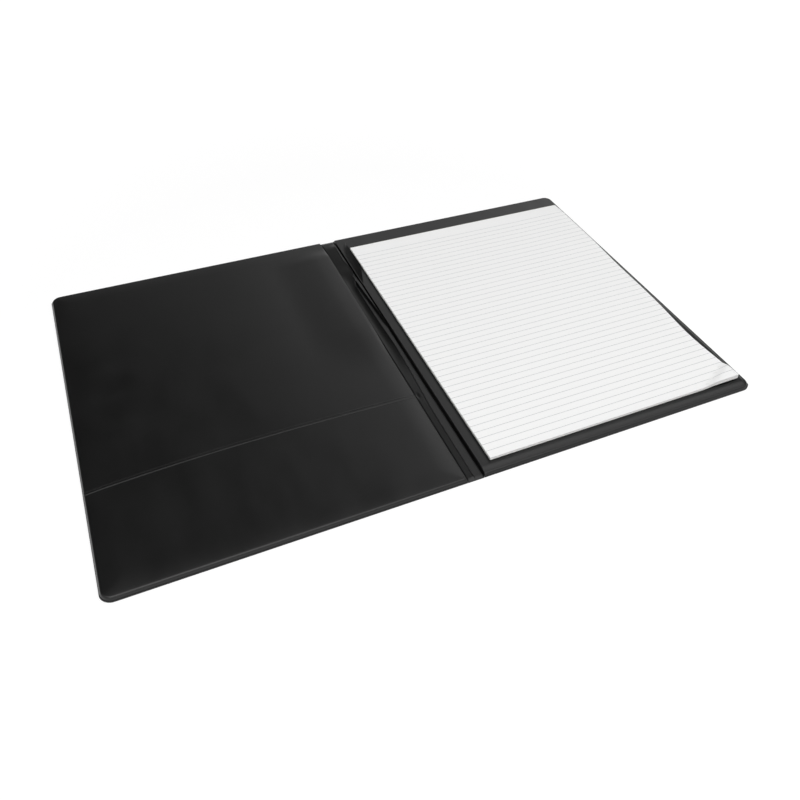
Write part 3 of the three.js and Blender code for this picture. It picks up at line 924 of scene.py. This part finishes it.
def studio_floor():
    """Floor that looks white to the camera and still shows the object's shadow."""
    bpy.ops.mesh.primitive_circle_add(vertices=96, radius=FLOOR_RADIUS, fill_type="NGON")
    floor = bpy.context.object
    floor.location.z = -FLOOR_DROP
    floor.name = "studio_floor"
    material = bpy.data.materials.new("white_floor")
    material.use_nodes = True
    tree = material.node_tree
    tree.nodes.remove(tree.nodes["Principled BSDF"])
    plain = tree.nodes.new("ShaderNodeBsdfDiffuse")
    plain.inputs["Color"].default_value = FLOOR_COLOUR
    faint = tree.nodes.new("ShaderNodeBsdfDiffuse")
    faint.inputs["Color"].default_value = SEEN_FLOOR_COLOUR
    glow = tree.nodes.new("ShaderNodeEmission")
    glow.inputs["Color"].default_value = WHITE
    place = tree.nodes.new("ShaderNodeTexCoord")
    length = tree.nodes.new("ShaderNodeVectorMath")
    length.operation = "LENGTH"
    tree.links.new(place.outputs["Object"], length.inputs[0])
    strength = tree.nodes.new("ShaderNodeMapRange")
    strength.inputs["From Min"].default_value = GLOW_NEAR
    strength.inputs["From Max"].default_value = GLOW_FAR
    strength.inputs["To Min"].default_value = GLOW_LEAST
    strength.inputs["To Max"].default_value = 1
    tree.links.new(length.outputs["Value"], strength.inputs["Value"])
    tree.links.new(strength.outputs[0], glow.inputs["Strength"])
    both = tree.nodes.new("ShaderNodeAddShader")
    choice = tree.nodes.new("ShaderNodeMixShader")
    seen, _ = seen_directly(tree)
    tree.links.new(faint.outputs[0], both.inputs[0])
    tree.links.new(glow.outputs[0], both.inputs[1])
    tree.links.new(seen, choice.inputs[0])
    tree.links.new(plain.outputs[0], choice.inputs[1])
    tree.links.new(both.outputs[0], choice.inputs[2])
    tree.links.new(choice.outputs[0], tree.nodes["Material Output"].inputs["Surface"])
    floor.data.materials.append(material)


def studio_world():
    """White behind the object for the camera, and white low down and dim higher up for everything else."""
    world = bpy.data.worlds.new("studio")
    bpy.context.scene.world = world
    world.use_nodes = True
    tree = world.node_tree
    background = tree.nodes["Background"]
    place = tree.nodes.new("ShaderNodeTexCoord")
    parts = tree.nodes.new("ShaderNodeSeparateXYZ")
    tree.links.new(place.outputs["Generated"], parts.inputs[0])
    low = tree.nodes.new("ShaderNodeMapRange")
    low.interpolation_type = "SMOOTHSTEP"
    low.inputs["From Min"].default_value = HORIZON_LOW
    low.inputs["From Max"].default_value = HORIZON_HIGH
    low.inputs["To Min"].default_value = 1
    low.inputs["To Max"].default_value = 0
    tree.links.new(parts.outputs["Z"], low.inputs["Value"])
    seen, camera = seen_directly(tree)
    near = tree.nodes.new("ShaderNodeMath")
    near.operation = "MULTIPLY"
    tree.links.new(seen, near.inputs[0])
    tree.links.new(low.outputs[0], near.inputs[1])
    either = tree.nodes.new("ShaderNodeMath")
    either.operation = "MAXIMUM"
    tree.links.new(near.outputs[0], either.inputs[0])
    tree.links.new(camera, either.inputs[1])
    colour = tree.nodes.new("ShaderNodeMix")
    colour.data_type = "RGBA"
    colour.inputs["A"].default_value = DIM_SKY
    colour.inputs["B"].default_value = WHITE
    tree.links.new(either.outputs[0], colour.inputs["Factor"])
    tree.links.new(colour.outputs["Result"], background.inputs["Color"])


place_camera()
cover_skin(-1, "front_outer", "front_cover", "front_skin")
cover_skin(1, "back_outer", "back_cover", "back_skin")
cover_lining(-1, "front_inner", "front_cover", "front_lining")
cover_lining(1, "back_inner", "back_cover", "back_lining")
front_tall_film()
front_low_film()
back_film()
spine_outer()
spine_inner()
top_sheet()
loose_sheets()
page_block()
crease_films()
repaint("pad_card", CARD)
repaint("pad_glue", GLUE)
for board in ("back_board", "front_board"):
    repaint(board, CARD)
studio_floor()
studio_world()
# Azimuth and elevation in degrees, distance and size in metres, radiance
soft_box("overhead_box", 0, 90, 2.2, (6.0, 4.3), 1.5, centre=(0, -1.45, 0))
soft_box("left_box", 5, 30, 3.0, (1.05, 0.7), 0.34)
soft_box("high_box", -10, 55, 3.0, (1.2, 0.6), 0.15)
soft_box("side_box", 22, 34, 3.0, (0.98, 1.35), 0.70)
soft_box("key_box", 43, 38, 3.0, (0.98, 1.70), 1.3)
soft_box("front_box", 198, 34, 2.0, (1.9, 1.06), 1.8)

bpy.context.scene.view_settings.view_transform = "Standard"
